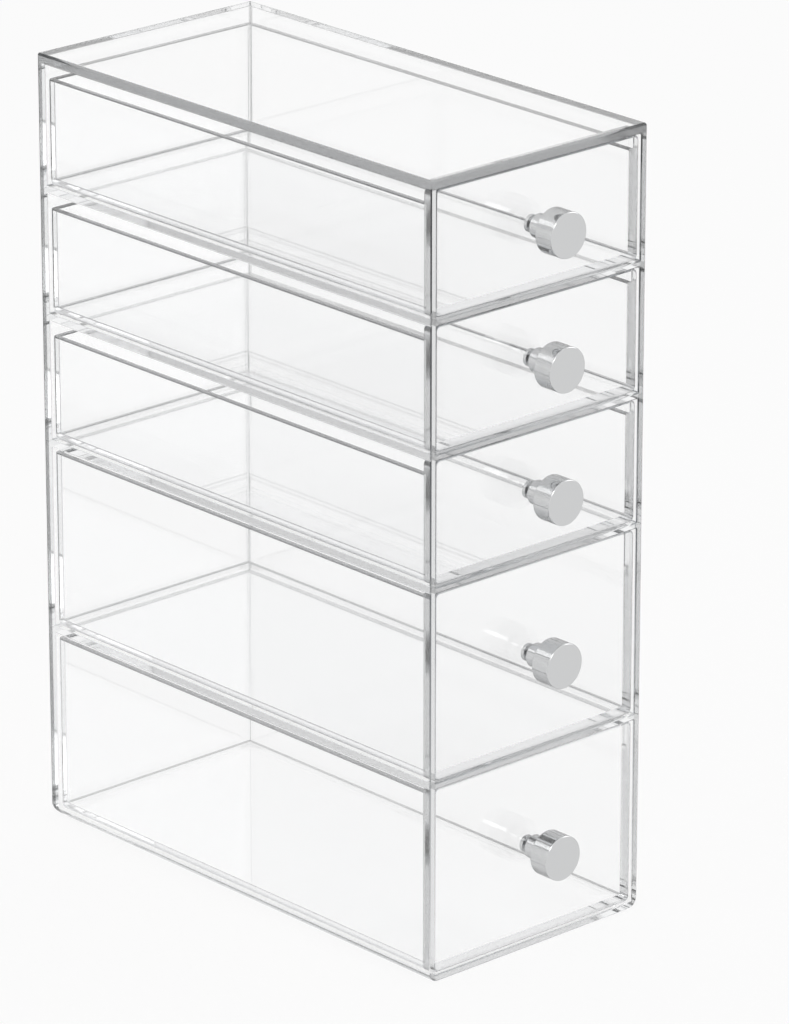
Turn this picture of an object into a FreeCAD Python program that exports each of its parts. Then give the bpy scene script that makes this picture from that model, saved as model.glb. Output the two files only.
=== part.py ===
import FreeCAD, Part
import os
from enum import IntEnum

import Sketcher

# Clear acrylic vanity tower: a case with four bonded shelves and five pull-out drawers.
#
# Units are millimetres. +Z is up, the drawer fronts face -Y, and the origin is the centre of the
# case's underside. Drawer 1 is the top one. Drawers 1 to 3 are shallow, drawers 4 and 5 are deep.

# ---------------------------------------------------------------------------------- driving sizes
SIZES = {
    # case
    "case_width": 86.36,
    "case_depth": 177.8,
    "case_height": 251.46,
    "side_wall": 2.2,
    "back_wall": 2.2,
    "base_thickness": 2.2,
    "shelf_thickness": 2.0,
    "top_thickness": 3.0,
    "shallow_opening": 39.35,
    "shell_inner_radius": 1.2,
    "case_edge_radius": 0.7,
    # running clearances of a drawer in its opening
    "side_clearance": 0.35,
    "rear_clearance": 0.6,
    "glide_clearance": 0.2,
    "front_clearance": 0.3,
    "front_recess": 0.8,
    # trays
    "tray_wall": 2.0,
    "tray_floor": 2.0,
    "tray_inner_radius": 0.5,
    "corner_relief": 0.6,
    "shallow_rim_gap": 5.0,
    "deep_rim_gap": 1.8,
    # front panels
    "front_thickness": 4.0,
    "front_edge_radius": 0.5,
    # knobs
    "knob_stem_radius": 3.8,
    "knob_stem_length": 6.0,
    "knob_head_radius": 7.1,
    "knob_head_thickness": 7.0,
    "knob_face_bevel": 0.5,
    "knob_back_bevel": 0.3,
    # knob screws
    "screw_radius": 1.5,
    "screw_engagement": 7.0,
    "screw_head_radius": 2.75,
    "screw_head_thickness": 1.9,
    "screw_head_crown": 0.7,
    "screw_tip_bevel": 0.4,
    "screw_hole_clearance": 0.2,
    "thread_clearance": 0.05,
    "thread_runout": 1.0,
    "recess_reach": 1.6,
    "recess_half_width": 0.45,
    "recess_depth": 1.1,
}
SHALLOW, DEEP = "shallow", "deep"
DRAWER_KINDS = {1: SHALLOW, 2: SHALLOW, 3: SHALLOW, 4: DEEP, 5: DEEP}

TOLERANCE = 1e-4


class SketchAxis(IntEnum):
    """The numbers a sketch gives its own two axes."""

    HORIZONTAL = -1
    VERTICAL = -2


ROOT_POINT = (SketchAxis.HORIZONTAL, 1)


class Rule:
    """A length worked out from the sheet: its value now, and the expression that keeps it."""

    def __init__(self, value, text):
        self.value, self.text = value, text

    def _joined(self, other, sign, result):
        return Rule(result, "(%s %s %s)" % (self.text, sign, getattr(other, "text", other)))

    def __add__(self, other):
        return self._joined(other, "+", self.value + getattr(other, "value", other))

    def __sub__(self, other):
        return self._joined(other, "-", self.value - getattr(other, "value", other))

    def __mul__(self, number):
        return self._joined(number, "*", self.value * number)

    def __truediv__(self, number):
        return self._joined(number, "/", self.value / number)

    def __neg__(self):
        return Rule(-self.value, "(-1 * %s)" % self.text)


ZERO = Rule(0.0, "0")


def make_sheet(doc):
    """Write every driving size into one spreadsheet and return it as rules by name."""
    sheet = doc.addObject("Spreadsheet::Sheet", "Sizes")
    for row, (name, value) in enumerate(SIZES.items(), start=1):
        sheet.set("A%d" % row, name)
        sheet.set("B%d" % row, str(value))
        sheet.setAlias("B%d" % row, name)
    doc.recompute()
    return {name: Rule(value, "Sizes.%s" % name) for name, value in SIZES.items()}


# ------------------------------------------------------------------------------ modelling helpers
def bind(item, prop, rule):
    """Tie one property of a document object to a rule."""
    item.setExpression(prop, rule.text)


def new_body(doc, label):
    body = doc.addObject("PartDesign::Body", label)
    body.Label = label
    return body


def place(body, y=ZERO, z=ZERO, rotation=None):
    """Put a body in the row frame, tied to the sheet; every piece is centred on X."""
    body.Placement = FreeCAD.Placement(
        FreeCAD.Vector(0, y.value, z.value), rotation or FreeCAD.Rotation()
    )
    bind(body, "Placement.Base.y", y)
    bind(body, "Placement.Base.z", z)


def new_sketch(body, plane, lift=None):
    """A sketch on one of the body's own origin planes, raised along its normal by a rule."""
    sketch = body.newObject("Sketcher::SketchObject", "Sketch")
    origin_plane = next(f for f in body.Origin.OriginFeatures if f.Role == plane)
    sketch.AttachmentSupport = [(origin_plane, "")]
    sketch.MapMode = "FlatFace"
    if lift is not None:
        bind(sketch, "AttachmentOffset.Base.z", lift)
    return sketch


def pin_point(sketch, geometry, end, x, y):
    """Hold one sketch point at the signed distances x and y from the sketch's origin."""
    for kind, rule, axis in (
        ("DistanceX", x, SketchAxis.VERTICAL),
        ("DistanceY", y, SketchAxis.HORIZONTAL),
    ):
        if rule is ZERO:
            sketch.addConstraint(Sketcher.Constraint("PointOnObject", geometry, end, axis))
            continue
        forward = rule.value >= 0
        first, second = (ROOT_POINT, (geometry, end)) if forward else ((geometry, end), ROOT_POINT)
        distance = Sketcher.Constraint(kind, *first, *second, abs(rule.value))
        index = sketch.addConstraint(distance)
        sketch.setExpression("Constraints[%d]" % index, (rule if forward else -rule).text)


def draw_outline(sketch, corners):
    """A closed outline of straight lines through corners, each given as a pair of rules."""
    points = [FreeCAD.Vector(x.value, y.value, 0) for x, y in corners]
    count = len(corners)
    for i in range(count):
        sketch.addGeometry(Part.LineSegment(points[i], points[(i + 1) % count]), False)
    for i in range(count):
        sketch.addConstraint(Sketcher.Constraint("Coincident", i, 2, (i + 1) % count, 1))
    for i, (x, y) in enumerate(corners):
        pin_point(sketch, i, 1, x, y)


def draw_rectangle(sketch, half_width, low, high):
    """A rectangle centred on the sketch's vertical axis, from low to high along it."""
    draw_outline(
        sketch,
        [(-half_width, low), (half_width, low), (half_width, high), (-half_width, high)],
    )


def draw_circle(sketch, radius, height=ZERO):
    """A circle on the sketch's vertical axis."""
    centre = FreeCAD.Vector(0, height.value, 0)
    sketch.addGeometry(Part.Circle(centre, FreeCAD.Vector(0, 0, 1), radius.value), False)
    pin_point(sketch, 0, 3, ZERO, height)
    index = sketch.addConstraint(Sketcher.Constraint("Radius", 0, radius.value))
    sketch.setExpression("Constraints[%d]" % index, radius.text)


def pad(body, sketch, length):
    feature = body.newObject("PartDesign::Pad", "Pad")
    feature.Profile = sketch
    bind(feature, "Length", length)
    body.Document.recompute()
    return feature


def pocket(body, sketch, depth=None, away_from_normal=True):
    """Cut a sketch out of the body, through all of it where no depth is given."""
    before = body.Shape.Volume
    feature = body.newObject("PartDesign::Pocket", "Pocket")
    feature.Profile = sketch
    feature.Reversed = not away_from_normal
    if depth is None:
        feature.Type = "ThroughAll"
    else:
        bind(feature, "Length", depth)
    body.Document.recompute()
    if body.Shape.Volume > before - TOLERANCE:
        raise RuntimeError("%s: a pocket cut nothing" % body.Label)
    return feature


def revolve(body, sketch):
    """Turn a half profile about the sketch's vertical axis."""
    feature = body.newObject("PartDesign::Revolution", "Revolution")
    feature.Profile = sketch
    feature.ReferenceAxis = (sketch, ["V_Axis"])
    feature.Angle = 360
    body.Document.recompute()
    return feature


def fillet(body, radius, wanted):
    """Round the edges of the body's tip whose bounding box passes the test."""
    base = body.Tip
    names = [
        "Edge%d" % (i + 1)
        for i, edge in enumerate(base.Shape.Edges)
        if wanted(edge.BoundBox)
    ]
    if not names:
        raise RuntimeError("%s: no edge to round" % body.Label)
    feature = body.newObject("PartDesign::Fillet", "Fillet")
    feature.Base = (base, names)
    bind(feature, "Radius", radius)
    body.Document.recompute()
    return feature


def near(a, b):
    return abs(a - b) < TOLERANCE


def is_upright(box):
    return box.ZLength > TOLERANCE and box.XLength < TOLERANCE and box.YLength < TOLERANCE


def is_level(box):
    return box.ZLength < TOLERANCE


# ------------------------------------------------------------------------------------ derived sizes
def opening_height(size, kind):
    """The clear height of a compartment: the deep ones share what the shallow ones leave."""
    if kind == SHALLOW:
        return size["shallow_opening"]
    kinds = list(DRAWER_KINDS.values())
    inside = size["case_height"] - size["base_thickness"] - size["top_thickness"]
    plates = size["shelf_thickness"] * (len(kinds) - 1)
    shallow = size["shallow_opening"] * kinds.count(SHALLOW)
    return (inside - plates - shallow) / kinds.count(DEEP)


def compartment_floors(size):
    """The height of each compartment's floor, by drawer number, from the base up."""
    floors = {}
    level = size["base_thickness"]
    for number in sorted(DRAWER_KINDS, reverse=True):
        floors[number] = level
        level = level + opening_height(size, DRAWER_KINDS[number]) + size["shelf_thickness"]
    return floors


# --------------------------------------------------------------------------------------------- case
def make_case_shell(doc, size):
    """Sides, back and base in one piece, rounded where the base turns up into the walls."""
    body = new_body(doc, "case_shell")
    half_width, half_depth = size["case_width"] / 2, size["case_depth"] / 2
    front, rear = -half_depth.value, half_depth.value

    outline = new_sketch(body, "XY_Plane")
    draw_rectangle(outline, half_width, -half_depth, half_depth)
    pad(body, outline, size["case_height"] - size["top_thickness"])
    fillet(
        body,
        size["shell_inner_radius"] + size["side_wall"],
        lambda box: is_level(box) and near(box.ZMax, 0) and not near(box.YMax, front),
    )
    fillet(
        body,
        size["case_edge_radius"],
        lambda box: is_upright(box) and near(box.YMax, rear),
    )

    hollow = new_sketch(body, "XY_Plane", lift=size["base_thickness"])
    inner_half = half_width - size["side_wall"]
    inner_rear = half_depth - size["back_wall"]
    draw_rectangle(hollow, inner_half, -half_depth, inner_rear)
    pocket(body, hollow, away_from_normal=False)
    floor, side_now, rear_now = size["base_thickness"].value, inner_half.value, inner_rear.value

    def is_floor_edge(box):
        at_side = near(box.XMin, box.XMax) and near(abs(box.XMin), side_now)
        at_rear = near(box.YMin, rear_now) and near(box.YMax, rear_now)
        return is_level(box) and near(box.ZMin, floor) and (at_side or at_rear)

    fillet(body, size["shell_inner_radius"], is_floor_edge)
    place(body)
    return body


def make_case_top(doc, size):
    """The lid plate, bonded on the shell's upper edges and eased all round its upper face."""
    body = new_body(doc, "case_top")
    half_depth = size["case_depth"] / 2
    outline = new_sketch(body, "XY_Plane")
    draw_rectangle(outline, size["case_width"] / 2, -half_depth, half_depth)
    pad(body, outline, size["top_thickness"])
    rear, upper = half_depth.value, size["top_thickness"].value
    fillet(
        body,
        size["case_edge_radius"],
        lambda box: (is_upright(box) and near(box.YMax, rear))
        or (is_level(box) and near(box.ZMax, upper)),
    )
    place(body, z=size["case_height"] - size["top_thickness"])
    return body


def make_shelf(doc, size, number, underside):
    """One full-depth plate between the side walls, flush with the case's front."""
    body = new_body(doc, "shelf_%d" % number)
    half_depth = size["case_depth"] / 2
    outline = new_sketch(body, "XY_Plane")
    draw_rectangle(
        outline,
        size["case_width"] / 2 - size["side_wall"],
        -half_depth,
        half_depth - size["back_wall"],
    )
    pad(body, outline, size["shelf_thickness"])
    place(body, z=underside)
    return body


# ------------------------------------------------------------------------------------------ drawers
def drawer_half_width(size):
    return size["case_width"] / 2 - size["side_wall"] - size["side_clearance"]


def drawer_corner_radius(size):
    """The drawer's outer corners clear the rounding between the case's base and walls."""
    return size["shell_inner_radius"] + size["corner_relief"]


def front_face(size):
    """Where the front panels' outer face lies along Y."""
    return size["front_recess"] - size["case_depth"] / 2


def front_height(size, number):
    opening = opening_height(size, DRAWER_KINDS[number])
    return opening - size["glide_clearance"] - size["front_clearance"]


def tray_height(size, number):
    """The height of a tray's sides, which stop short of the plate above them."""
    kind = DRAWER_KINDS[number]
    return opening_height(size, kind) - size["glide_clearance"] - size[kind + "_rim_gap"]


def knob_height(size, number, floor_level):
    """The height of the knob's axis, which is the middle of the front panel."""
    return floor_level + size["glide_clearance"] + front_height(size, number) / 2


def make_tray(doc, size, number, floor_level):
    """Floor, two sides and a back in one piece, open at the front end where the panel closes it."""
    body = new_body(doc, "drawer_%d_tray" % number)
    half_width = drawer_half_width(size)
    depth = (
        size["case_depth"]
        - size["back_wall"]
        - size["rear_clearance"]
        - size["front_recess"]
        - size["front_thickness"]
    )

    block = new_sketch(body, "XY_Plane")
    draw_rectangle(block, half_width, ZERO, depth)
    pad(body, block, tray_height(size, number))
    width_now, depth_now = half_width.value, depth.value

    def is_outer_corner(box):
        at_side = near(box.XMin, box.XMax) and near(abs(box.XMin), width_now)
        at_rear = near(box.YMin, depth_now)
        if is_upright(box):
            return at_side and at_rear
        return near(box.ZMax, 0) and (at_side or at_rear)

    fillet(body, drawer_corner_radius(size), is_outer_corner)

    hollow = new_sketch(body, "XY_Plane", lift=size["tray_floor"])
    inner_half = half_width - size["tray_wall"]
    inner_rear = depth - size["tray_wall"]
    draw_rectangle(hollow, inner_half, ZERO, inner_rear)
    pocket(body, hollow, away_from_normal=False)
    floor, side_now, rear_now = size["tray_floor"].value, inner_half.value, inner_rear.value

    def is_inner_corner(box):
        at_side = near(box.XMin, box.XMax) and near(abs(box.XMin), side_now)
        at_rear = near(box.YMin, rear_now) and near(box.YMax, rear_now)
        if is_upright(box):
            return at_side and at_rear
        return is_level(box) and near(box.ZMin, floor) and (at_side or at_rear)

    fillet(body, size["tray_inner_radius"], is_inner_corner)
    place(
        body,
        y=front_face(size) + size["front_thickness"],
        z=floor_level + size["glide_clearance"],
    )
    return body


def make_front(doc, size, number, floor_level):
    """The panel bonded across the tray's open end, with a clear hole for the knob's screw."""
    body = new_body(doc, "drawer_%d_front" % number)
    height = front_height(size, number)
    panel = new_sketch(body, "XY_Plane")
    draw_rectangle(panel, drawer_half_width(size), ZERO, size["front_thickness"])
    pad(body, panel, height)
    fillet(
        body,
        drawer_corner_radius(size),
        lambda box: near(box.XMin, box.XMax) and near(box.ZMin, box.ZMax),
    )
    fillet(
        body,
        size["front_edge_radius"],
        lambda box: near(box.YMin, 0) and near(box.YMax, 0),
    )
    hole = new_sketch(body, "XZ_Plane")
    draw_circle(hole, size["screw_radius"] + size["screw_hole_clearance"], height / 2)
    pocket(body, hole, size["front_thickness"])
    place(body, y=front_face(size), z=floor_level + size["glide_clearance"])
    return body


OUTWARD = FreeCAD.Rotation(FreeCAD.Vector(1, 0, 0), 90)


def make_knob(doc, size, number, floor_level):
    """A turned metal knob: a short stem and a disc head, with a blind threaded hole."""
    body = new_body(doc, "drawer_%d_knob" % number)
    stem, head = size["knob_stem_radius"], size["knob_head_radius"]
    neck = size["knob_stem_length"]
    total = neck + size["knob_head_thickness"]
    back, face = size["knob_back_bevel"], size["knob_face_bevel"]
    profile = new_sketch(body, "XZ_Plane")
    draw_outline(
        profile,
        [
            (ZERO, ZERO),
            (stem - back, ZERO),
            (stem, back),
            (stem, neck),
            (head - back, neck),
            (head, neck + back),
            (head, total - face),
            (head - face, total),
            (ZERO, total),
        ],
    )
    revolve(body, profile)
    hole = new_sketch(body, "XY_Plane")
    draw_circle(hole, size["screw_radius"] + size["thread_clearance"])
    pocket(body, hole, size["screw_engagement"] + size["thread_runout"], away_from_normal=False)
    place(
        body,
        y=front_face(size),
        z=knob_height(size, number, floor_level),
        rotation=OUTWARD,
    )
    return body


def make_screw(doc, size, number, floor_level):
    """A pan-head machine screw with a cross recess, driven from inside the drawer."""
    body = new_body(doc, "drawer_%d_screw" % number)
    shank, head = size["screw_radius"], size["screw_head_radius"]
    under_head = size["screw_head_thickness"]
    total = under_head + size["front_thickness"] + size["screw_engagement"]
    crown, tip = size["screw_head_crown"], size["screw_tip_bevel"]
    profile = new_sketch(body, "XZ_Plane")
    draw_outline(
        profile,
        [
            (ZERO, ZERO),
            (head - crown, ZERO),
            (head, crown),
            (head, under_head),
            (shank, under_head),
            (shank, total - tip),
            (shank - tip, total),
            (ZERO, total),
        ],
    )
    revolve(body, profile)
    reach, slot = size["recess_reach"], size["recess_half_width"]
    cross = new_sketch(body, "XY_Plane")
    quarter = [(reach, -slot), (reach, slot), (slot, slot)]
    corners = []
    for _ in range(4):
        corners += quarter
        quarter = [(-y, x) for x, y in quarter]
    draw_outline(cross, corners)
    pocket(body, cross, size["recess_depth"], away_from_normal=False)
    place(
        body,
        y=front_face(size) + size["front_thickness"] + under_head,
        z=knob_height(size, number, floor_level),
        rotation=OUTWARD,
    )
    return body


# ------------------------------------------------------------------------------------------ assembly
def build(doc):
    size = make_sheet(doc)
    floors = compartment_floors(size)
    pieces = [make_case_shell(doc, size), make_case_top(doc, size)]
    for number in range(1, len(DRAWER_KINDS)):
        underside = floors[number] - size["shelf_thickness"]
        pieces.append(make_shelf(doc, size, number, underside))
    for number, floor_level in sorted(floors.items()):
        for maker in (make_tray, make_front, make_knob, make_screw):
            pieces.append(maker(doc, size, number, floor_level))
    doc.recompute()
    return pieces


def check(doc, pieces):
    """Stop if any object failed to recompute or any piece is not one valid solid."""
    for item in doc.Objects:
        if {"Invalid", "Error"} & set(item.State):
            raise RuntimeError("%s is in state %s" % (item.Label, item.State))
    for body in pieces:
        shape = body.Shape
        if shape.isNull() or not shape.isValid() or len(shape.Solids) != 1:
            raise RuntimeError("%s has no single valid solid" % body.Label)


def write(pieces):
    os.makedirs("parts", exist_ok=True)
    for body in pieces:
        body.Shape.exportStep(os.path.join("parts", body.Label + ".step"))
        box = body.Shape.optimalBoundingBox(True, False)
        print(
            "%-16s %7.2f %7.2f %7.2f mm  volume %9.1f mm3"
            % (body.Label, box.XLength, box.YLength, box.ZLength, body.Shape.Volume)
        )


def main():
    doc = FreeCAD.newDocument("vanity_drawer_tower")
    pieces = build(doc)
    check(doc, pieces)
    write(pieces)


main()
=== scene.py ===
import logging
import math
from dataclasses import dataclass, field
from enum import Enum

import bmesh
import bpy
import numpy as np
from mathutils import Matrix, Vector


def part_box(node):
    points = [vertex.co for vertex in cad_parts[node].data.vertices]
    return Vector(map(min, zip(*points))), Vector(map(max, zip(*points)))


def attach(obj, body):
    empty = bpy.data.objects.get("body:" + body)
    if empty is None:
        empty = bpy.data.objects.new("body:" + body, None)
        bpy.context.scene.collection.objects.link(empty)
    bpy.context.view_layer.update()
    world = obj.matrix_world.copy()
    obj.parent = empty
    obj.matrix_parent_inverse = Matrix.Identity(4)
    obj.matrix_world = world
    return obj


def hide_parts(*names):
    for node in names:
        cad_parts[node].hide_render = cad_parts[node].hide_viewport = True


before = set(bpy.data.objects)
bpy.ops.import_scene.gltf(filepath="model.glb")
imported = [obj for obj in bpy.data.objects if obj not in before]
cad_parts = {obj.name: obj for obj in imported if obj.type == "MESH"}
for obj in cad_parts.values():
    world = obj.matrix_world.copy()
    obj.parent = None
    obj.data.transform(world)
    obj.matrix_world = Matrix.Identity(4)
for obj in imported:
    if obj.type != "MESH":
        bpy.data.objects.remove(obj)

# A clear acrylic drawer tower, dressed for rendering. Lengths are in metres unless a name ends in
# _mm. The case and each drawer are one fused clear solid, as bonded acrylic looks when its plates
# meet without a gap, so that light crosses every joint undisturbed.

LOG = logging.getLogger("drawer_tower")
MM = 0.001

# Limits on one part of a face's unit normal: under STEEP the face doesn't look along that axis,
# under LEVEL it is tilted to it, and over SQUARE it is square to it.
STEEP = 0.7
LEVEL = 0.9999
SQUARE = 0.99999

# Points closer than WELD are one point, and an edge shorter than SLIVER is none.
WELD = 1e-7
SLIVER = 1e-8
DRAWERS = (1, 2, 3, 4, 5)
SHELVES = (1, 2, 3, 4)


class Slot(Enum):
    """The material slots that the finishes stand for."""

    CASE = "case_acrylic"
    DRAWER = "drawer_acrylic"
    KNOB = "knob_chrome"
    SCREW = "screw_steel"


class Turn(Enum):
    """Which way an end edge is rounded: away from solid material, or into a hollow's mouth."""

    OUTER = -1.0
    MOUTH = 1.0


# ------------------------------------------------------------------------------------- mesh making
@dataclass(frozen=True)
class Outline:
    """A closed loop of points in a plane, with the outward normal at each point.

    Attributes:
        points: one row of two coordinates per point, counter-clockwise.
        normals: the unit outward normal at each point.
    """

    points: np.ndarray
    normals: np.ndarray


def rounded_outline(
    low: tuple[float, float],
    high: tuple[float, float],
    lower_radius: float,
    upper_radius: float,
    steps: int = 6,
) -> Outline:
    """A rectangle with rounded corners.

    Each corner is its centre plus its radius times the cosine and sine of an angle that runs
    over a quarter turn, and the corners are joined by straight runs.

    Args:
        low: the rectangle's lowest two coordinates.
        high: the rectangle's highest two coordinates.
        lower_radius: the radius of the two corners at the low second coordinate.
        upper_radius: the radius of the other two corners.
        steps: the number of segments in each corner.

    Returns:
        The outline, starting at the lower right corner.
    """
    radii = np.array([lower_radius, upper_radius, upper_radius, lower_radius])
    signs = np.array([[1, -1], [1, 1], [-1, 1], [-1, -1]])
    corners = np.where(signs > 0, high, low)
    centres = corners - signs * radii[:, None]
    starts = np.radians([-90, 0, 90, 180])
    angles = starts[:, None] + np.linspace(0, math.pi / 2, steps + 1)[None, :]
    normals = np.stack([np.cos(angles), np.sin(angles)], axis=-1)
    points = centres[:, None, :] + radii[:, None, None] * normals
    return Outline(points.reshape(-1, 2), normals.reshape(-1, 2))


def end_turn(
    outline: Outline,
    radius: float | np.ndarray,
    plane: float,
    inward: float,
    turn: Turn,
    steps: int = 5,
) -> np.ndarray:
    """The loops of a rounded edge at one end of a loft along Y.

    Loop by loop, an angle runs over a quarter turn. Each point moves along its normal by the
    radius times one less the sine, and away from the end plane by the radius times one less the
    cosine, so the first loop lies in the end plane.

    Args:
        outline: the loft's cross-section, with coordinates X and Z.
        radius: the edge radius, or one for each point.
        plane: the Y of the end plane.
        inward: +1 or -1, the way along Y from the plane into the loft.
        turn: whether the loft is solid (OUTER) or a hollow's mouth (MOUTH).
        steps: the number of segments in the quarter turn.

    Returns:
        An array of loops, each of points with X, Y and Z, starting at the end plane.
    """
    angle = np.linspace(0, math.pi / 2, steps + 1)[:, None]
    radius = np.broadcast_to(radius, len(outline.points))[None, :]
    shift = turn.value * radius * (1 - np.sin(angle))
    flat = outline.points[None] + shift[..., None] * outline.normals[None]
    depth = plane + inward * radius * (1 - np.cos(angle))
    return np.stack([flat[..., 0], depth, flat[..., 1]], axis=-1)


@dataclass
class Surface:
    """Vertices and faces gathered from several patches, to be made into one mesh."""

    vertices: list[np.ndarray] = field(default_factory=list)
    faces: list[list[int]] = field(default_factory=list)
    count: int = 0

    def add_loops(self, loops: np.ndarray, cap_first: bool = False, cap_last: bool = False) -> None:
        """Adds the quads between closed loops, each point joined to its neighbours by index.

        Args:
            loops: an array of loops of points.
            cap_first: whether the first loop is filled with one face.
            cap_last: whether the last loop is filled with one face.
        """
        rows, columns = loops.shape[:2]
        index = self.count + np.arange(rows * columns).reshape(rows, columns)
        after = np.roll(index, -1, axis=1)
        quads = np.stack([index[:-1], after[:-1], after[1:], index[1:]], axis=-1).reshape(-1, 4)
        self.faces += quads.tolist()
        if cap_first:
            self.faces.append(index[0, ::-1].tolist())
        if cap_last:
            self.faces.append(index[-1].tolist())
        self.vertices.append(loops.reshape(-1, 3))
        self.count += rows * columns

    def to_object(self, name: str, fill_openings: bool = False) -> bpy.types.Object:
        """Makes the mesh, welds it, closes it and points its faces outward.

        Args:
            name: the name of the new object.
            fill_openings: whether loops that are still open are filled as one flat face.

        Returns:
            The new object, at the origin.
        """
        mesh = bpy.data.meshes.new(name)
        mesh.from_pydata(np.concatenate(self.vertices).tolist(), [], self.faces)
        shell = bmesh.new()
        shell.from_mesh(mesh)
        bmesh.ops.remove_doubles(shell, verts=shell.verts, dist=WELD)
        bmesh.ops.dissolve_degenerate(shell, edges=shell.edges, dist=SLIVER)
        if fill_openings:
            rim = [edge for edge in shell.edges if edge.is_boundary]
            bmesh.ops.triangle_fill(shell, edges=rim, use_beauty=True)
        bmesh.ops.recalc_face_normals(shell, faces=shell.faces)
        shell.to_mesh(mesh)
        shell.free()
        piece = bpy.data.objects.new(name, mesh)
        bpy.context.scene.collection.objects.link(piece)
        return piece


def shade(piece: bpy.types.Object) -> None:
    """Shades faces square to an axis flat and the rest smooth, so that flats stay optically flat."""
    mesh = piece.data
    normals = np.empty(len(mesh.polygons) * 3)
    mesh.polygons.foreach_get("normal", normals)
    square = np.abs(normals.reshape(-1, 3)).max(axis=1) > SQUARE
    mesh.polygons.foreach_set("use_smooth", ~square)
    mesh.update()


def smooth_all(piece: bpy.types.Object) -> None:
    """Shades every face smooth."""
    piece.data.polygons.foreach_set("use_smooth", np.ones(len(piece.data.polygons), bool))


def split(piece: bpy.types.Object, axis: int, level: float) -> None:
    """Splits the faces that cross a level along one axis, and changes no shape."""
    cut = bmesh.new()
    cut.from_mesh(piece.data)
    place, way = Vector(), Vector()
    place[axis], way[axis] = level, 1.0
    bmesh.ops.bisect_plane(
        cut, geom=[*cut.verts, *cut.edges, *cut.faces], dist=SLIVER, plane_co=place, plane_no=way
    )
    cut.to_mesh(piece.data)
    cut.free()


def face_rows(piece: bpy.types.Object, what: str) -> np.ndarray:
    """One row for each face: its center or its normal."""
    rows = np.empty(len(piece.data.polygons) * 3)
    piece.data.polygons.foreach_get(what, rows)
    return rows.reshape(-1, 3)


def write_satin_and_shade(piece: bpy.types.Object, cut: np.ndarray) -> None:
    """Writes how far each face has a plate end's satin haze and painted shade, a grey tint, from 0,
    clear, to 1.
    """
    marks = piece.data.attributes.new("edge_satin_and_shade", "FLOAT", "FACE")
    marks.data.foreach_set("value", cut.astype(np.float32))


def combine(base: bpy.types.Object, other: bpy.types.Object, operation: str) -> None:
    """Joins or cuts one solid with another, exactly, and keeps the result in the first.

    Args:
        base: the object that keeps the result.
        other: the second solid, which is deleted.
        operation: UNION or DIFFERENCE.
    """
    modifier = base.modifiers.new("combine", "BOOLEAN")
    modifier.operation = operation
    modifier.solver = "EXACT"
    modifier.object = other
    graph = bpy.context.evaluated_depsgraph_get()
    result = bpy.data.meshes.new_from_object(base.evaluated_get(graph))
    base.modifiers.clear()
    old = base.data
    base.data = result
    result.name = base.name
    bpy.data.meshes.remove(old)
    bpy.data.objects.remove(other)


def turned(profile: np.ndarray, centre: Vector, sides: int = 96) -> np.ndarray:
    """A surface of revolution about a line along Y, as loops for Surface.add_loops.

    Each profile point sweeps a circle: X and Z are the centre's plus the radius times the cosine
    and sine of the angle round it, and Y is the centre's less the point's distance along the axis.

    Args:
        profile: rows of distance along the axis, towards -Y, and radius.
        centre: where the axis starts.
        sides: the number of points in each circle.

    Returns:
        One loop of points for each row of the profile.
    """
    angle = np.linspace(0, 2 * math.pi, sides, endpoint=False)[None, :]
    along, radius = profile[:, :1], profile[:, 1:]
    return np.stack(
        [
            centre.x + radius * np.cos(angle),
            np.broadcast_to(centre.y - along, (len(profile), sides)),
            centre.z + radius * np.sin(angle),
        ],
        axis=-1,
    )


def eased(
    corners: list[tuple[float, float, float]], steps: int = 5, support: float = 0.06
) -> np.ndarray:
    """A profile through corners, each rounded by its own radius, with support points beside it.

    At a corner, the points follow a quadratic curve from the radius before it to the radius
    after it; a support point stands a little outside each end of the curve.

    Args:
        corners: rows of along, radius from the axis, and easing length, in millimetres.
        steps: the number of segments in each eased corner.
        support: how far the support points stand outside it, in millimetres.

    Returns:
        Rows of along and radius from the axis, in metres.
    """
    points = np.array([corner[:2] for corner in corners])
    parts = [points[:1]]
    blend = np.linspace(0, 1, steps + 1)[:, None]
    for before, corner, after, ease in zip(
        points[:-2], points[1:-1], points[2:], [row[2] for row in corners[1:-1]]
    ):
        back = (before - corner) / np.linalg.norm(before - corner)
        on = (after - corner) / np.linalg.norm(after - corner)
        start, end = corner + back * ease, corner + on * ease
        curve = (1 - blend) ** 2 * start + 2 * blend * (1 - blend) * corner + blend**2 * end
        parts += [(start + back * support)[None], curve, (end + on * support)[None]]
    parts.append(points[-1:])
    return np.concatenate(parts) * MM


# --------------------------------------------------------------------------------------- materials
# A Mix node has a socket of each name for every data type; these are the ones for colours.
MIX_COLOUR_INPUTS = (0, 6, 7)
MIX_COLOUR_OUTPUT = 2


def node_group(
    name: str, inputs: dict[str, float | tuple[float, ...]], outputs: dict[str, str]
) -> bpy.types.NodeTree:
    """A new shader group with named sockets.

    Args:
        name: the group's name.
        inputs: the name and default of each number, or of each colour, that it takes.
        outputs: the name and socket type of each value that it gives.

    Returns:
        The group, holding only its input and output nodes.
    """
    group = bpy.data.node_groups.new(name, "ShaderNodeTree")
    for label, default in inputs.items():
        kind = "NodeSocketColor" if isinstance(default, tuple) else "NodeSocketFloat"
        socket = group.interface.new_socket(label, in_out="INPUT", socket_type=kind)
        socket.default_value = default
    for label, kind in outputs.items():
        group.interface.new_socket(label, in_out="OUTPUT", socket_type=kind)
    group.nodes.new("NodeGroupInput").name = "In"
    group.nodes.new("NodeGroupOutput").name = "Out"
    return group


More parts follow.
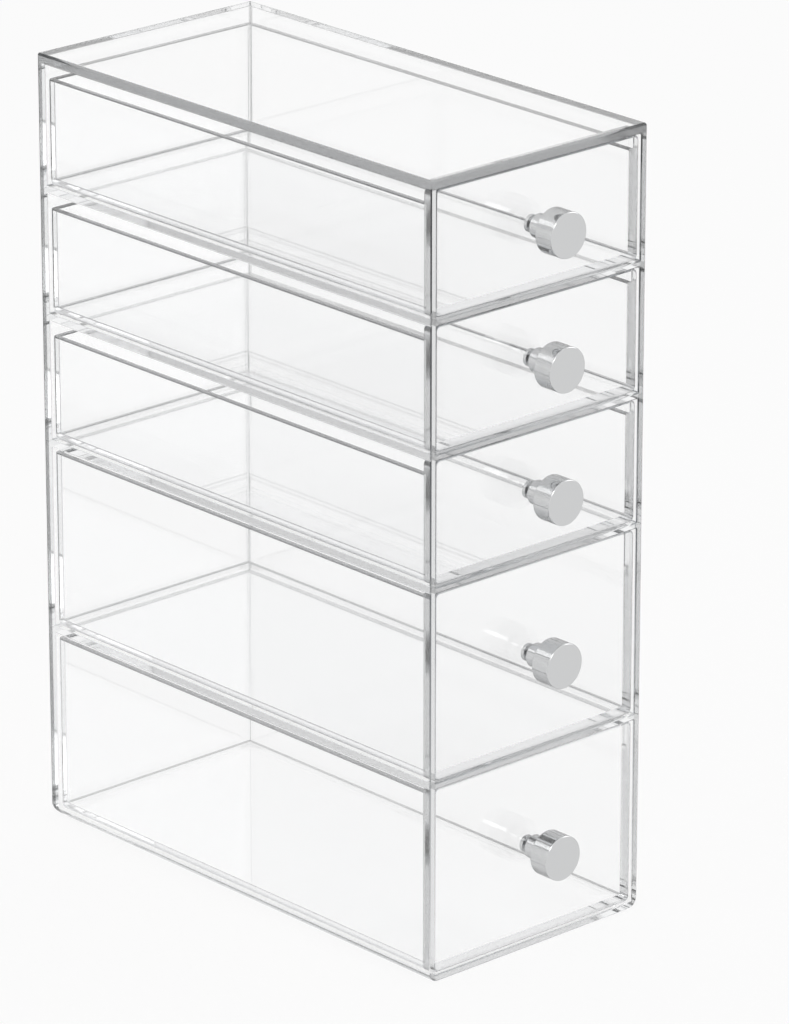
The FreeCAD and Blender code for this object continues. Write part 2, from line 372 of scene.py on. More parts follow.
def handled_surface() -> bpy.types.NodeTree:
    """The marks of handling: slow waviness in the height and soft cloudy change in roughness.

    Height is a broad noise scaled by Waviness. Roughness is Polish plus Haze times a finer noise.
    """
    group = node_group(
        "handled_surface",
        {"Wave Scale": 20.0, "Haze Scale": 60.0, "Waviness": 1.0, "Polish": 0.02, "Haze": 0.02},
        {"Roughness": "NodeSocketFloat", "Height": "NodeSocketFloat"},
    )
    nodes, links = group.nodes, group.links
    given, given_out = nodes["In"], nodes["Out"]
    place = nodes.new("ShaderNodeTexCoord")
    for label, scale, detail in (("wave", "Wave Scale", 1.0), ("haze", "Haze Scale", 4.0)):
        noise = nodes.new("ShaderNodeTexNoise")
        noise.name = label
        noise.inputs["Detail"].default_value = detail
        links.new(place.outputs["Object"], noise.inputs["Vector"])
        links.new(given.outputs[scale], noise.inputs["Scale"])
    height = maths(group, "MULTIPLY", nodes["wave"].outputs["Fac"], given.outputs["Waviness"])
    haze = maths(group, "MULTIPLY", nodes["haze"].outputs["Fac"], given.outputs["Haze"])
    rough = maths(group, "ADD", haze, given.outputs["Polish"])
    links.new(height, given_out.inputs["Height"])
    links.new(rough, given_out.inputs["Roughness"])
    return group


def satin_and_shaded_edges() -> bpy.types.NodeTree:
    """The satin haze of plate ends and a painted shade on them, where the edge_satin_and_shade attribute
    is 1.

    Its colour goes from Clear to Shaded Edge, a grey that paints shade, and Haze is added to the
    roughness, by the attribute.
    """
    white = (1.0, 1.0, 1.0, 1.0)
    group = node_group(
        "satin_and_shaded_edges",
        {"Clear": white, "Edge": white, "Roughness": 0.0, "Haze": 0.1},
        {"Color": "NodeSocketColor", "Roughness": "NodeSocketFloat"},
    )
    given, given_out = group.nodes["In"], group.nodes["Out"]
    mark = group.nodes.new("ShaderNodeAttribute")
    mark.attribute_name = "edge_satin_and_shade"
    tone = group.nodes.new("ShaderNodeMix")
    tone.data_type = "RGBA"
    factor, clear, edge = (tone.inputs[number] for number in MIX_COLOUR_INPUTS)
    group.links.new(mark.outputs["Fac"], factor)
    group.links.new(given.outputs["Clear"], clear)
    group.links.new(given.outputs["Edge"], edge)
    haze = maths(group, "MULTIPLY", mark.outputs["Fac"], given.outputs["Haze"])
    rough = maths(group, "ADD", haze, given.outputs["Roughness"])
    group.links.new(tone.outputs[MIX_COLOUR_OUTPUT], given_out.inputs["Color"])
    group.links.new(rough, given_out.inputs["Roughness"])
    return group


@dataclass(frozen=True)
class SurfaceMarks:
    """How a finish sets the shared handling marks.

    Attributes:
        wave_scale: how many slow waves there are in a metre.
        haze_scale: how many clouds of roughness there are in a metre.
        polish: the least roughness.
        haze: how much roughness the clouds add.
        bump_strength: the share of the waves that shows.
        bump_depth: the depth of the waves.
    """

    wave_scale: float
    haze_scale: float
    polish: float
    haze: float
    bump_strength: float
    bump_depth: float

    def dress(self, material: bpy.types.Material, shader: bpy.types.Node) -> None:
        """Feeds the marks to a shader's roughness and, through a Bump node, its normal."""
        tree = material.node_tree
        marks = tree.nodes.new("ShaderNodeGroup")
        marks.node_tree = bpy.data.node_groups.get("handled_surface") or handled_surface()
        for label, value in (
            ("Wave Scale", self.wave_scale),
            ("Haze Scale", self.haze_scale),
            ("Waviness", 1.0),
            ("Polish", self.polish),
            ("Haze", self.haze),
        ):
            marks.inputs[label].default_value = value
        bump = tree.nodes.new("ShaderNodeBump")
        bump.inputs["Strength"].default_value = self.bump_strength
        bump.inputs["Distance"].default_value = self.bump_depth
        tree.links.new(marks.outputs["Height"], bump.inputs["Height"])
        tree.links.new(marks.outputs["Roughness"], shader.inputs["Roughness"])
        tree.links.new(bump.outputs["Normal"], shader.inputs["Normal"])


def maths(
    tree: bpy.types.NodeTree,
    operation: str,
    first: bpy.types.NodeSocket,
    second: bpy.types.NodeSocket | float,
) -> bpy.types.NodeSocket:
    """Adds a Math node that works on a socket and on another socket or a number."""
    node = tree.nodes.new("ShaderNodeMath")
    node.operation = operation
    tree.links.new(first, node.inputs[0])
    if isinstance(second, float):
        node.inputs[1].default_value = second
    else:
        tree.links.new(second, node.inputs[1])
    return node.outputs[0]


def blank_material(name: str) -> bpy.types.Material:
    """A material with an empty node tree but for its output."""
    material = bpy.data.materials.new(name)
    material.use_nodes = True
    material.node_tree.nodes.clear()
    material.node_tree.nodes.new("ShaderNodeOutputMaterial").name = "Output"
    return material


@dataclass(frozen=True)
class ClearAcrylic:
    """Polished clear acrylic: refracts, and greys slightly along a long path inside a plate.

    Attributes:
        name: the material's name.
        colour: the tint of a clear face.
        refraction: the index of refraction.
        depth_colour: the colour that a long path inside goes towards.
        depth_density: how soon it does.
        edge_shade_colour: the grey tint of a cut end, a painted shade.
        edge_haze: the roughness that a cut end adds.
        lamp_colour: what an open face lets through.
        most_crossings: the number of faces crossed after which a face is open.
        most_reflections: the number of reflections after which a whole one is opened.
        whole_reflection: the reflected share from which a reflection counts as whole.
        marks: the marks of handling.
    """

    name: str
    colour: tuple[float, float, float, float] = (1.0, 1.0, 1.0, 1.0)
    refraction: float = 1.49
    depth_colour: tuple[float, float, float, float] = (0.72, 0.73, 0.74, 1.0)
    depth_density: float = 11.0
    # A painted shade: cut ends are tinted grey to stand in for the darker look that light gives them.
    edge_shade_colour: tuple[float, float, float, float] = (0.2, 0.203, 0.206, 1.0)
    edge_haze: float = 0.25
    lamp_colour: tuple[float, float, float, float] = (0.983, 0.985, 0.987, 1.0)
    most_crossings: float = 10.5
    most_reflections: float = 2.5
    whole_reflection: float = 0.99
    marks: SurfaceMarks = SurfaceMarks(
        wave_scale=14.0, haze_scale=45.0, polish=0.0, haze=0.004, bump_strength=0.05, bump_depth=0.4 * MM
    )

    def let_through(self, tree: bpy.types.NodeTree) -> bpy.types.NodeSocket:
        """One where the surface is open, so that no light is lost where it is followed no further.

        It is open to lamp rays, to light that has crossed many plates already, and to light piped
        along a plate that would be wholly reflected inside it yet again, which leaves there.
        """
        path = tree.nodes.new("ShaderNodeLightPath")
        mirror = tree.nodes.new("ShaderNodeFresnel")
        mirror.inputs["IOR"].default_value = self.refraction
        late = maths(tree, "GREATER_THAN", path.outputs["Ray Depth"], self.most_crossings)
        piped = maths(tree, "GREATER_THAN", path.outputs["Glossy Depth"], self.most_reflections)
        shut = maths(tree, "GREATER_THAN", mirror.outputs["Fac"], self.whole_reflection)
        stuck = maths(tree, "MULTIPLY", piped, shut)
        followed_enough = maths(tree, "MAXIMUM", late, stuck)
        return maths(tree, "MAXIMUM", followed_enough, path.outputs["Is Shadow Ray"])

    def make(self) -> bpy.types.Material:
        """Builds the material: a Principled glass, open to lamps, round a faint absorption."""
        material = blank_material(self.name)
        nodes, links = material.node_tree.nodes, material.node_tree.links
        shader = nodes.new("ShaderNodeBsdfPrincipled")
        shader.inputs["IOR"].default_value = self.refraction
        shader.inputs["Transmission Weight"].default_value = 1.0
        shader.inputs["Metallic"].default_value = 0.0
        self.marks.dress(material, shader)
        # The ends group paints shade on plate ends as a grey tint, and adds their satin haze to the
        # roughness.
        ends = nodes.new("ShaderNodeGroup")
        ends.node_tree = bpy.data.node_groups.get("satin_and_shaded_edges") or satin_and_shaded_edges()
        ends.inputs["Clear"].default_value = self.colour
        ends.inputs["Edge"].default_value = self.edge_shade_colour
        ends.inputs["Haze"].default_value = self.edge_haze
        links.new(shader.inputs["Roughness"].links[0].from_socket, ends.inputs["Roughness"])
        links.new(ends.outputs["Color"], shader.inputs["Base Color"])
        links.new(ends.outputs["Roughness"], shader.inputs["Roughness"])
        lamp_side = nodes.new("ShaderNodeBsdfTransparent")
        lamp_side.inputs["Color"].default_value = self.lamp_colour
        mix = nodes.new("ShaderNodeMixShader")
        links.new(self.let_through(material.node_tree), mix.inputs[0])
        links.new(shader.outputs[0], mix.inputs[1])
        links.new(lamp_side.outputs[0], mix.inputs[2])
        links.new(mix.outputs[0], nodes["Output"].inputs["Surface"])
        depth = nodes.new("ShaderNodeVolumeAbsorption")
        depth.inputs["Color"].default_value = self.depth_colour
        depth.inputs["Density"].default_value = self.depth_density
        links.new(depth.outputs[0], nodes["Output"].inputs["Volume"])
        return material


@dataclass(frozen=True)
class Metal:
    """A bare or plated metal with faint turning and handling marks."""

    name: str
    colour: tuple[float, float, float, float]
    marks: SurfaceMarks
    rim_tint: tuple[float, float, float, float] = (0.6, 0.6, 0.6, 1.0)

    def make(self) -> bpy.types.Material:
        """Builds the material from one Principled shader."""
        material = blank_material(self.name)
        nodes, links = material.node_tree.nodes, material.node_tree.links
        shader = nodes.new("ShaderNodeBsdfPrincipled")
        shader.inputs["Base Color"].default_value = self.colour
        shader.inputs["Metallic"].default_value = 1.0
        shader.inputs["Specular Tint"].default_value = self.rim_tint
        self.marks.dress(material, shader)
        links.new(shader.outputs[0], nodes["Output"].inputs["Surface"])
        return material


TURNED = SurfaceMarks(
    wave_scale=90.0, haze_scale=400.0, polish=0.03, haze=0.05, bump_strength=0.1, bump_depth=0.1 * MM
)
PLATED = SurfaceMarks(
    wave_scale=300.0, haze_scale=900.0, polish=0.16, haze=0.14, bump_strength=0.2, bump_depth=0.1 * MM
)
FINISHES = {
    Slot.CASE: ClearAcrylic("clear_case"),
    Slot.DRAWER: ClearAcrylic("clear_drawer"),
    Slot.KNOB: Metal("polished_chrome", (0.62, 0.625, 0.63, 1.0), TURNED),
    Slot.SCREW: Metal("plated_steel", (0.66, 0.665, 0.67, 1.0), PLATED),
}


def finish_piece(
    piece: bpy.types.Object,
    slot: Slot,
    materials: dict[Slot, bpy.types.Material],
    body: str,
    *nodes: str,
) -> None:
    """Gives a piece its material and slot, lets it ride its body, and stands it for its nodes."""
    piece.data.materials.clear()
    piece.data.materials.append(materials[slot])
    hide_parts(*nodes)
    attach(piece, body)
    LOG.info("%s: %d faces, stands for %s", piece.name, len(piece.data.polygons), ", ".join(nodes))


# --------------------------------------------------------------------------------------- the case
@dataclass
class Case:
    """The bonded case: two sides, back, base, lid and four shelves as one clear solid.

    Attributes:
        lower_radius: the roundings along the underside.
        edge_radius: the easing of the other outside edges.
        front_break: the easing of the edges round each opening.
        cove: the fillets inside each opening.
        corner_steps: the number of segments in each corner of the outline.
        front_satin_and_shade: how far the side walls' front ends have the satin haze and the painted
            shade, from 0 to 1.
    """

    materials: dict[Slot, bpy.types.Material]
    lower_radius: float = 3.4 * MM
    edge_radius: float = 0.7 * MM
    front_break: float = 0.35 * MM
    cove: float = 0.3 * MM
    corner_steps: int = 8
    # How far the side walls' front ends are tinted grey as painted shade, with satin haze.
    front_satin_and_shade: float = 0.4

    def compartments(self) -> list[tuple[float, float]]:
        """The floor and ceiling of each compartment, from the base up, read from the plates."""
        plates = [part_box("shelf_%d" % number) for number in reversed(SHELVES)]
        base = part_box("case_shell")[0].z + self.base_thickness()
        floors = [base] + [high.z for _, high in plates]
        ceilings = [low.z for low, _ in plates] + [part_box("case_top")[0].z]
        return list(zip(floors, ceilings))

    def base_thickness(self) -> float:
        """The base is as thick as the side walls, which the shelves stop at."""
        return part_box("case_shell")[1].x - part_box("shelf_1")[1].x

    def build(self) -> None:
        """Lofts the outside and the five compartments, and joins them across the front."""
        shell_low, shell_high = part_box("case_shell")
        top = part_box("case_top")[1].z
        _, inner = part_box("shelf_1")
        surface = Surface()
        outside = rounded_outline(
            (shell_low.x, shell_low.z),
            (shell_high.x, top),
            self.lower_radius,
            self.edge_radius,
            self.corner_steps,
        )
        upward = np.clip(outside.normals[:, 1], 0, 1)
        downward = np.clip(-outside.normals[:, 1], 0, 1)
        front_radius = self.front_break + (self.edge_radius - self.front_break) * upward
        rear_radius = self.edge_radius + (self.lower_radius - self.edge_radius) * downward
        front = end_turn(outside, front_radius, shell_low.y, 1.0, Turn.OUTER)
        rear = end_turn(outside, rear_radius, shell_high.y, -1.0, Turn.OUTER)[::-1]
        surface.add_loops(np.concatenate([front, rear]), cap_last=True)
        for floor, ceiling in self.compartments():
            hollow = rounded_outline((-inner.x, floor), (inner.x, ceiling), self.cove, self.cove)
            mouth = end_turn(hollow, self.front_break, shell_low.y, 1.0, Turn.MOUTH)
            end = end_turn(hollow, self.cove, inner.y, -1.0, Turn.OUTER)[::-1]
            surface.add_loops(np.concatenate([mouth, end]), cap_last=True)
        piece = surface.to_object("case_clear", fill_openings=True)
        self.mark_satin_and_shade(piece)
        shade(piece)
        shelves = ["shelf_%d" % number for number in SHELVES]
        finish_piece(piece, Slot.CASE, self.materials, "case", "case_shell", "case_top", *shelves)

    def mark_satin_and_shade(self, piece: bpy.types.Object) -> None:
        """Marks the lid's rim, the back plate's ends and the side walls' front ends for satin haze and
        painted shade.
        """
        _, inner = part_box("shelf_1")
        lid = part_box("case_top")[0].z
        for axis, level in ((0, -inner.x), (0, inner.x), (1, inner.y), (2, lid)):
            split(piece, axis, level)
        centre, normal = face_rows(piece, "center"), np.abs(face_rows(piece, "normal"))
        upright = normal[:, 2] < STEEP
        lid_rim = (normal[:, 2] < LEVEL) & (centre[:, 2] > lid)
        back_ends = upright & (centre[:, 1] > inner.y) & (normal[:, 1] < STEEP)
        front_ends = (np.abs(centre[:, 0]) > inner.x) & (normal[:, 1] > STEEP) & (centre[:, 1] < 0)
        # The marked faces get satin haze and a grey tint that paints shade.
        write_satin_and_shade(piece, np.where(lid_rim | back_ends, 1.0, self.front_satin_and_shade * front_ends))


# ------------------------------------------------------------------------------------- the drawers
@dataclass
class Drawer:
    """One drawer: a clear tray with a bonded front panel, a knob and its screw.

    Attributes:
        corner_radius: the rounding of the tray's and the panel's outer corners.
        wall: the thickness of the tray's sides and back.
        floor: the thickness of its floor.
        inner_radius: the rounding of its inner corners.
        rim_radius: the easing of the rim and of the panel's back edges.
        panel_satin_and_shade: how far the panel's ends have the satin haze and the painted shade, from 0
            to 1.
        crease_satin_and_shade: the same for the inner corner round the tray's floor, where the grey
            paints the shade of the crease.
        face_radius: the easing of the panel's front edges.
        bond_step: how far the tray stands back from its box, so that no faces coincide.
        bond_depth: how far the tray's front reaches into the panel.
        smallest_bend: the least corner radius of any loop of the tray.
        hole_radius: the radius of the screw's hole.
        bore_reach_mm: how far the hole is bored behind and before the panel's face.
        bore_sides: the number of sides that the hole has.
    """

    number: int
    materials: dict[Slot, bpy.types.Material]
    corner_radius: float = 1.8 * MM
    wall: float = 2.0 * MM
    floor: float = 2.0 * MM
    inner_radius: float = 0.5 * MM
    rim_radius: float = 0.35 * MM
    # How far the panel's ends and the inner corner round the floor get satin haze and a grey tint that
    # paints shade.
    panel_satin_and_shade: float = 0.8
    crease_satin_and_shade: float = 0.8
    face_radius: float = 0.5 * MM
    bond_step: float = 0.02 * MM
    bond_depth: float = 2.6 * MM
    smallest_bend: float = 0.02 * MM
    hole_radius: float = 1.7 * MM
    bore_reach_mm: tuple[float, float] = (6.0, 2.0)
    bore_sides: int = 48

    def node(self, part: str) -> str:
        """The name of one of this drawer's nodes."""
        return "drawer_%d_%s" % (self.number, part)

    def knob_axis(self) -> Vector:
        """Where the knob's axis meets the panel's outer face."""
        low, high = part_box(self.node("front"))
        return Vector(((low.x + high.x) / 2, low.y, (low.z + high.z) / 2))

    def panel(self) -> bpy.types.Object:
        """The front panel: a rounded rectangle lofted through its thickness, edges eased."""
        low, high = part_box(self.node("front"))
        corner = self.corner_radius
        face = rounded_outline((low.x, low.z), (high.x, high.z), corner, corner)
        front = end_turn(face, self.face_radius, low.y, 1.0, Turn.OUTER)
        back = end_turn(face, self.rim_radius, high.y, -1.0, Turn.OUTER)[::-1]
        surface = Surface()
        surface.add_loops(np.concatenate([front, back]), cap_first=True, cap_last=True)
        return surface.to_object(self.node("clear"))

    def tray(self) -> bpy.types.Object:
        """The tray as a closed cup whose front wall lies inside the panel.

        One wall profile, up the outside, over the rim and down the inside, is carried round the
        tray's outline: each of its points is an inset from the outline and a height.
        """
        low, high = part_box(self.node("tray"))
        turn = np.linspace(0, math.pi / 2, 6)
        corner, rim, wall, inner = self.corner_radius, self.rim_radius, self.wall, self.inner_radius
        height = high.z - low.z - self.bond_step
        inset = np.concatenate(
            [
                corner * (1 - np.sin(turn)),
                rim * (1 - np.cos(turn)),
                wall - rim * (1 - np.sin(turn)),
                wall + inner * (1 - np.cos(turn)),
            ]
        )
        level = np.concatenate(
            [
                corner * (1 - np.cos(turn)),
                height - rim * (1 - np.sin(turn)),
                height - rim * (1 - np.cos(turn)),
                self.floor + inner * (1 - np.sin(turn)),
            ]
        )
        inside = inset >= wall - rim
        radius = np.where(inside, inner - (inset - wall), corner - inset)
        radius = np.maximum(radius, self.smallest_bend)
        step = self.bond_step
        loops = []
        for shrink, up, bend in zip(inset, level, radius):
            ring = rounded_outline(
                (low.x + step + shrink, low.y - self.bond_depth + shrink),
                (high.x - step - shrink, high.y - shrink),
                bend,
                bend,
            ).points
            loops.append(np.column_stack([ring, np.full(len(ring), low.z + step + up)]))
        surface = Surface()
        surface.add_loops(np.array(loops), cap_first=True, cap_last=True)
        return surface.to_object("tray_tool")

    def build_clear(self) -> None:
        """Fuses the panel and tray and bores the screw's hole through the panel."""
        piece = self.panel()
        combine(piece, self.tray(), "UNION")
        bore = Surface()
        behind, before = self.bore_reach_mm
        reach = np.array([[-behind * MM, self.hole_radius], [before * MM, self.hole_radius]])
        bore.add_loops(
            turned(reach, self.knob_axis(), self.bore_sides), cap_first=True, cap_last=True
        )
        combine(piece, bore.to_object("bore_tool"), "DIFFERENCE")
        self.mark_satin_and_shade(piece)
        shade(piece)
        body = "drawer_%d" % self.number
        finish_piece(piece, Slot.DRAWER, self.materials, body, self.node("tray"), self.node("front"))

    def mark_satin_and_shade(self, piece: bpy.types.Object) -> None:
        """Marks the cut rims, the panel's ends and the inner corner round the floor for satin haze and
        painted shade.
        """
        low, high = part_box(self.node("tray"))
        panel_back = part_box(self.node("front"))[1].y
        centre, normal = face_rows(piece, "center"), np.abs(face_rows(piece, "normal"))
        behind = centre[:, 1] > panel_back
        rims = (centre[:, 2] > high.z - self.rim_radius) & behind
        panel_ends = ~behind & (normal[:, 1] < STEEP)
        from_axis = np.hypot(*(centre - self.knob_axis())[:, ::2].T)
        bore_wall = from_axis < self.hole_radius + self.rim_radius
        floor = low.z + self.floor
        level = (centre[:, 2] > floor) & (centre[:, 2] < floor + self.inner_radius)
        joint = level & behind & (normal[:, 2] < LEVEL)
        # The faces in joint, the inner corner round the floor, get a grey tint that paints the crease's
        # shade.
        marks = np.where(joint, self.crease_satin_and_shade, self.panel_satin_and_shade * (panel_ends & ~bore_wall))
        write_satin_and_shade(piece, np.where(rims, 1.0, marks))

    def build(self) -> None:
        """Builds the clear solid, then the knob and its screw."""
        self.build_clear()
        Knob(self.number, self.materials, self.knob_axis()).build()
        Screw(self.number, self.materials, self.knob_axis()).build()


@dataclass
class Knob:
    """A turned knob: a stem against the panel and a disc head with an eased face.

    Attributes:
        base: where the axis meets the panel's outer face.
        stem_mm: the stem's radius and length.
        head_mm: the head's radius and thickness.
        easing_mm: the easing at the stem's foot, the neck, the head's back and its face.
        gap_mm: how far the knob stands off the panel, so that no faces coincide.
        pole_mm: the radius at which the flat ends stop short of the axis.
    """

    number: int
    materials: dict[Slot, bpy.types.Material]
    base: Vector
    stem_mm: tuple[float, float] = (3.8, 6.0)
    head_mm: tuple[float, float] = (7.1, 7.0)
    easing_mm: tuple[float, float, float, float] = (0.15, 0.3, 0.3, 0.45)
    gap_mm: float = 0.02
    pole_mm: float = 0.02

    def build(self) -> None:
        """Turns the profile from the stem's foot, along the stem, and over the head to its face."""
        stem, neck = self.stem_mm
        head, thickness = self.head_mm
        total = neck + thickness
        at_foot, at_neck, at_back, at_face = self.easing_mm
        profile = eased(
            [
                (self.gap_mm, self.pole_mm, 0.0),
                (self.gap_mm, stem, at_foot),
                (neck, stem, at_neck),
                (neck, head, at_back),
                (total, head, at_face),
                (total, self.pole_mm, 0.0),
            ]
        )
        surface = Surface()
        surface.add_loops(turned(profile, self.base), cap_first=True, cap_last=True)
        piece = surface.to_object("drawer_%d_knob_turned" % self.number)
        smooth_all(piece)
        node, body = "drawer_%d_knob" % self.number, "drawer_%d" % self.number
        finish_piece(piece, Slot.KNOB, self.materials, body, node)


@dataclass
class Screw:
    """A pan-head machine screw: a crowned head with a cross recess and a threaded shank.

    Attributes:
        base: where the axis meets the panel's outer face.
        panel_mm: the panel's thickness, which the head bears on from behind.
        head_mm: the head's radius and thickness.
        crown_mm: how much thinner the head is at its edge than at its middle.
        shank_mm: the thread's crest radius.
        length_mm: the shank's length.
        pitch_mm: the thread's pitch.
        thread_mm: the thread's depth.
        tip_mm: the length over which the tip closes in.
        tip_share: the share of the radius that is left at its end.
        recess_mm: the cross's reach from the axis, the half width of its arms, and its depth.
        softness_mm: how far the arms' sides and ends take to fall to the full depth.
        gap_mm: how far the head stands off the panel, so that no faces coincide.
        head_span: the innermost ring and the last one on the crown, as shares of the radius.
        head_rings: the number of rings from one to the other.
        head_sides: the number of sides that the head has.
        shank_sides: the number of sides that the shank has.
        rings_in_pitch: the number of rings along one pitch of the thread.
    """

    number: int
    materials: dict[Slot, bpy.types.Material]
    base: Vector
    panel_mm: float = 4.0
    head_mm: tuple[float, float] = (2.75, 1.9)
    shank_mm: float = 1.48
    length_mm: float = 11.0
    pitch_mm: float = 0.5
    thread_mm: float = 0.28
    tip_mm: float = 0.5
    tip_share: float = 0.55
    recess_mm: tuple[float, float, float] = (1.6, 0.45, 1.1)
    crown_mm: float = 0.75
    softness_mm: tuple[float, float] = (0.12, 0.15)
    gap_mm: float = 0.02
    head_span: tuple[float, float] = (0.03, 0.985)
    head_rings: int = 44
    head_sides: int = 96
    shank_sides: int = 40
    rings_in_pitch: int = 8

    def head_loops(self) -> np.ndarray:
        """The crowned head, as polar loops from its middle out and down its side.

        Over the crown, the height falls with the cube of the distance from the axis, and is
        lowered by the recess depth where an arm of a cross, softened at its edges, covers it.
        """
        radius, thickness = self.head_mm
        reach, half_width, depth = self.recess_mm
        side_softness, end_softness = self.softness_mm
        shares = np.concatenate([np.linspace(*self.head_span, self.head_rings), [1.0, 1.0]])
        spans = shares * radius
        angle = np.linspace(0, 2 * math.pi, self.head_sides, endpoint=False)
        across, upright = np.outer(spans, np.cos(angle)), np.outer(spans, np.sin(angle))
        near, far = np.sort(np.abs(np.stack([across, upright])), axis=0)
        beside = np.clip((half_width - near) / side_softness + 0.5, 0, 1)
        along = np.clip((reach - far) / end_softness + 0.5, 0, 1)
        crown = thickness - self.crown_mm * (spans[:, None] / radius) ** 3 - depth * beside * along
        crown[-1] = self.gap_mm
        y = self.base.y + (self.panel_mm + crown) * MM
        return np.stack([self.base.x + across * MM, y, self.base.z + upright * MM], axis=-1)

    def shank_loops(self) -> np.ndarray:
        """The threaded shank, as loops along the axis.

        The radius is the crest's less the thread depth times a triangle wave of the distance
        along the axis in pitches less the share of a turn round it, and closes in at the tip.
        """
        rings = int(self.length_mm / self.pitch_mm * self.rings_in_pitch) + 1
        along = np.linspace(0, self.length_mm, rings)[:, None]
        angle = np.linspace(0, 2 * math.pi, self.shank_sides, endpoint=False)[None, :]
        phase = along / self.pitch_mm - angle / (2 * math.pi)
        wave = np.abs(2 * (phase - np.floor(phase + 0.5)))
        closing = np.clip((self.length_mm - along) / self.tip_mm, self.tip_share, 1)
        radius = (self.shank_mm - self.thread_mm * wave) * closing
        y = self.base.y + (self.panel_mm - self.gap_mm - along) * MM + 0 * angle
        x = self.base.x + radius * np.cos(angle) * MM
        z = self.base.z + radius * np.sin(angle) * MM
        return np.stack([x, y, z], axis=-1)

    def build(self) -> None:
        """Joins the head to the shank through the head's underside."""
        surface = Surface()
        surface.add_loops(self.head_loops(), cap_first=True, cap_last=True)
        surface.add_loops(self.shank_loops(), cap_first=True, cap_last=True)
        piece = surface.to_object("drawer_%d_screw_threaded" % self.number)
        smooth_all(piece)
        piece.data.set_sharp_from_angle(angle=math.radians(50))
        node, body = "drawer_%d_screw" % self.number, "drawer_%d" % self.number
        finish_piece(piece, Slot.SCREW, self.materials, body, node)


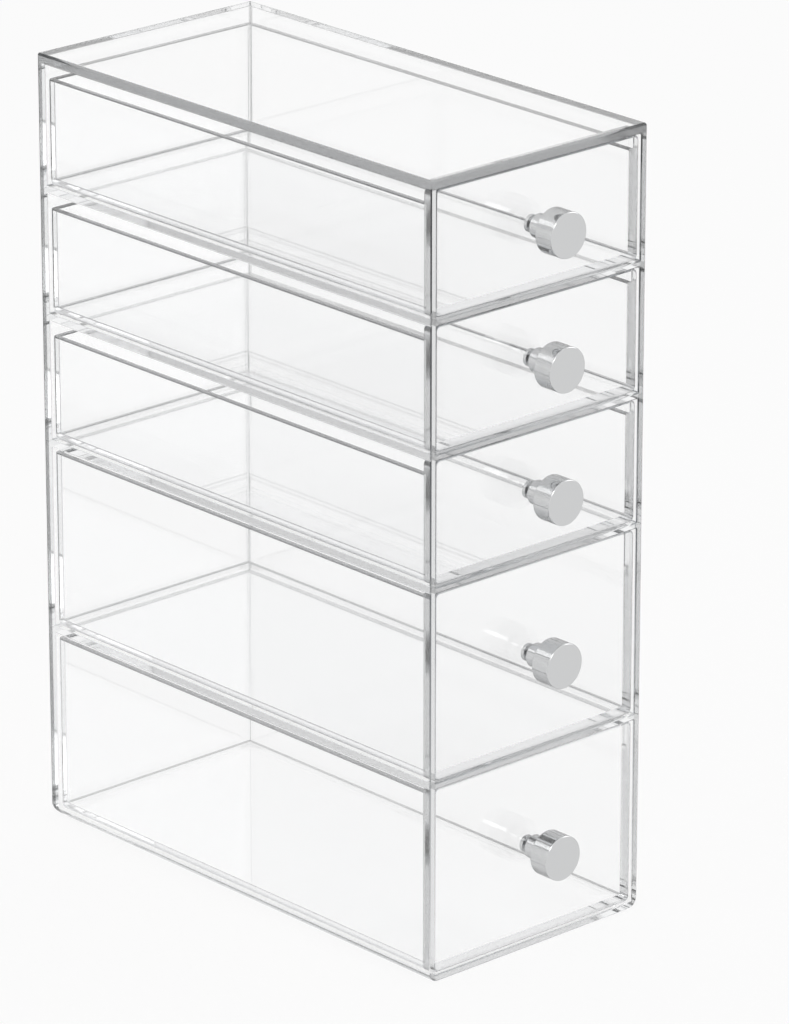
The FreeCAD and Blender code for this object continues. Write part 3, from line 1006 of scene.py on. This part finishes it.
# ------------------------------------------------------------------------------------- the studio
@dataclass(frozen=True)
class Studio:
    """A pale floor, a white surround, soft lamps and the camera.

    Attributes:
        azimuth: the camera's turn from looking along +Y, in degrees.
        elevation: how far the camera looks down, in degrees.
        distance: how far the camera is from what it aims at.
        slide: how far it aims to the right of the object's axis.
        rise: how far it aims above aim_height, along its own upward axis.
        aim_height: the height that the camera and the lamps aim at.
        lens: the focal length in millimetres.
        clip: the nearest and the farthest distance that the camera sees.
        floor_glow: how white the floor is to the eye, where 1 hides every shadow.
        floor_half_width: half the side of the square floor.
        floor_gap: how far the floor lies under the object, so that no faces coincide.
        floor_colour: the floor's own colour.
        white: the white that the eye sees.
        world_light: the strength of the surround as a light.
        lamps: each lamp's name, place, size and power in watts.
    """

    azimuth: float = -42.27
    elevation: float = 20.23
    distance: float = 2.0254
    slide: float = 0.01731
    rise: float = -0.00944
    aim_height: float = 0.12573
    lens: float = 232.5
    clip: tuple[float, float] = (0.05, 50.0)
    floor_half_width: float = 6.0
    floor_glow: float = 0.9
    floor_gap: float = 0.1 * MM
    floor_colour: tuple[float, float, float, float] = (0.9, 0.9, 0.9, 1.0)
    white: tuple[float, float, float, float] = (1.0, 1.0, 1.0, 1.0)
    world_light: float = 0.75
    lamps: tuple[tuple[str, tuple[float, float, float], float, float], ...] = (
        ("key", (-1.2, -1.4, 1.6), 0.9, 12.0),
        ("fill", (1.5, -0.9, 0.9), 1.0, 5.0),
    )

    def white_to_eye(self, tree: bpy.types.NodeTree) -> bpy.types.NodeSocket:
        """One where a ray comes straight from the camera, from gloss or through glass."""
        path = tree.nodes.new("ShaderNodeLightPath")
        seen = maths(tree, "MAXIMUM", path.outputs["Is Camera Ray"], path.outputs["Is Glossy Ray"])
        return maths(tree, "MAXIMUM", seen, path.outputs["Is Transmission Ray"])

    def floor(self) -> None:
        """A pale floor that is white to the eye and keeps a share of the light that reaches it."""
        mesh = bpy.data.meshes.new("floor")
        square = np.array([[-1, -1], [1, -1], [1, 1], [-1, 1]]) * self.floor_half_width
        corners = np.column_stack([square, np.full(4, -self.floor_gap)])
        mesh.from_pydata(corners.tolist(), [], [[0, 1, 2, 3]])
        plane = bpy.data.objects.new("floor", mesh)
        bpy.context.scene.collection.objects.link(plane)
        material = blank_material("pale_floor")
        tree = material.node_tree
        matt = tree.nodes.new("ShaderNodeBsdfDiffuse")
        matt.inputs["Color"].default_value = self.floor_colour
        glow = tree.nodes.new("ShaderNodeEmission")
        glow.inputs["Color"].default_value = self.white
        mix = tree.nodes.new("ShaderNodeMixShader")
        share = maths(tree, "MULTIPLY", self.white_to_eye(tree), self.floor_glow)
        tree.links.new(share, mix.inputs[0])
        tree.links.new(matt.outputs[0], mix.inputs[1])
        tree.links.new(glow.outputs[0], mix.inputs[2])
        tree.links.new(mix.outputs[0], tree.nodes["Output"].inputs["Surface"])
        mesh.materials.append(material)

    def surround(self) -> None:
        """A world that is white to the eye and a plain soft light to everything else."""
        world = bpy.data.worlds.new("surround")
        bpy.context.scene.world = world
        world.use_nodes = True
        tree = world.node_tree
        tree.nodes.clear()
        light = tree.nodes.new("ShaderNodeBackground")
        light.inputs["Strength"].default_value = self.world_light
        white = tree.nodes.new("ShaderNodeBackground")
        white.inputs["Color"].default_value = self.white
        white.inputs["Strength"].default_value = 1.0
        mix = tree.nodes.new("ShaderNodeMixShader")
        output = tree.nodes.new("ShaderNodeOutputWorld")
        tree.links.new(self.white_to_eye(tree), mix.inputs[0])
        tree.links.new(light.outputs[0], mix.inputs[1])
        tree.links.new(white.outputs[0], mix.inputs[2])
        tree.links.new(mix.outputs[0], output.inputs["Surface"])

    def lamp(self, name: str, place: Vector, size: float, power: float) -> None:
        """A soft square lamp that faces the middle of the object."""
        data = bpy.data.lights.new(name, "AREA")
        data.shape = "SQUARE"
        data.size = size
        data.energy = power
        lamp = bpy.data.objects.new(name, data)
        aim = Vector((0, 0, self.aim_height)) - place
        turn = aim.to_track_quat("-Z", "Y").to_matrix().to_4x4()
        lamp.matrix_world = Matrix.Translation(place) @ turn
        bpy.context.scene.collection.objects.link(lamp)

    def camera(self) -> None:
        """A long-lens camera, level with its side to side axis, aimed a little off the object."""
        azimuth, elevation = math.radians(self.azimuth), math.radians(self.elevation)
        right = Vector((math.cos(azimuth), math.sin(azimuth), 0))
        back = Vector(
            (
                math.sin(azimuth) * math.cos(elevation),
                -math.cos(azimuth) * math.cos(elevation),
                math.sin(elevation),
            )
        )
        up = back.cross(right)
        aim = Vector((0, 0, self.aim_height)) + right * self.slide + up * self.rise
        data = bpy.data.cameras.new("camera")
        data.lens = self.lens
        data.clip_start, data.clip_end = self.clip
        camera = bpy.data.objects.new("camera", data)
        turn = Matrix((right, up, back)).transposed().to_4x4()
        camera.matrix_world = Matrix.Translation(aim + back * self.distance) @ turn
        bpy.context.scene.collection.objects.link(camera)
        bpy.context.scene.camera = camera

    def build(self) -> None:
        """Sets up the floor, surround, lamps, camera and plain colour handling."""
        bpy.context.scene.view_settings.view_transform = "Standard"
        self.floor()
        self.surround()
        for name, place, size, power in self.lamps:
            self.lamp(name, Vector(place), size, power)
        self.camera()


def corners(box: tuple[Vector, Vector]) -> list[list[float]]:
    """A box's two corners as plain lists of numbers."""
    return [[round(float(value), 6) for value in corner] for corner in box]


def main() -> None:
    """Builds the case, the drawers and the studio."""
    logging.basicConfig(level=logging.INFO, format="%(name)s: %(message)s")
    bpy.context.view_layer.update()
    materials = {slot: finish.make() for slot, finish in FINISHES.items()}
    Case(materials).build()
    for number in DRAWERS:
        Drawer(number, materials).build()
    Studio().build()


if __name__ == "__main__":
    main()
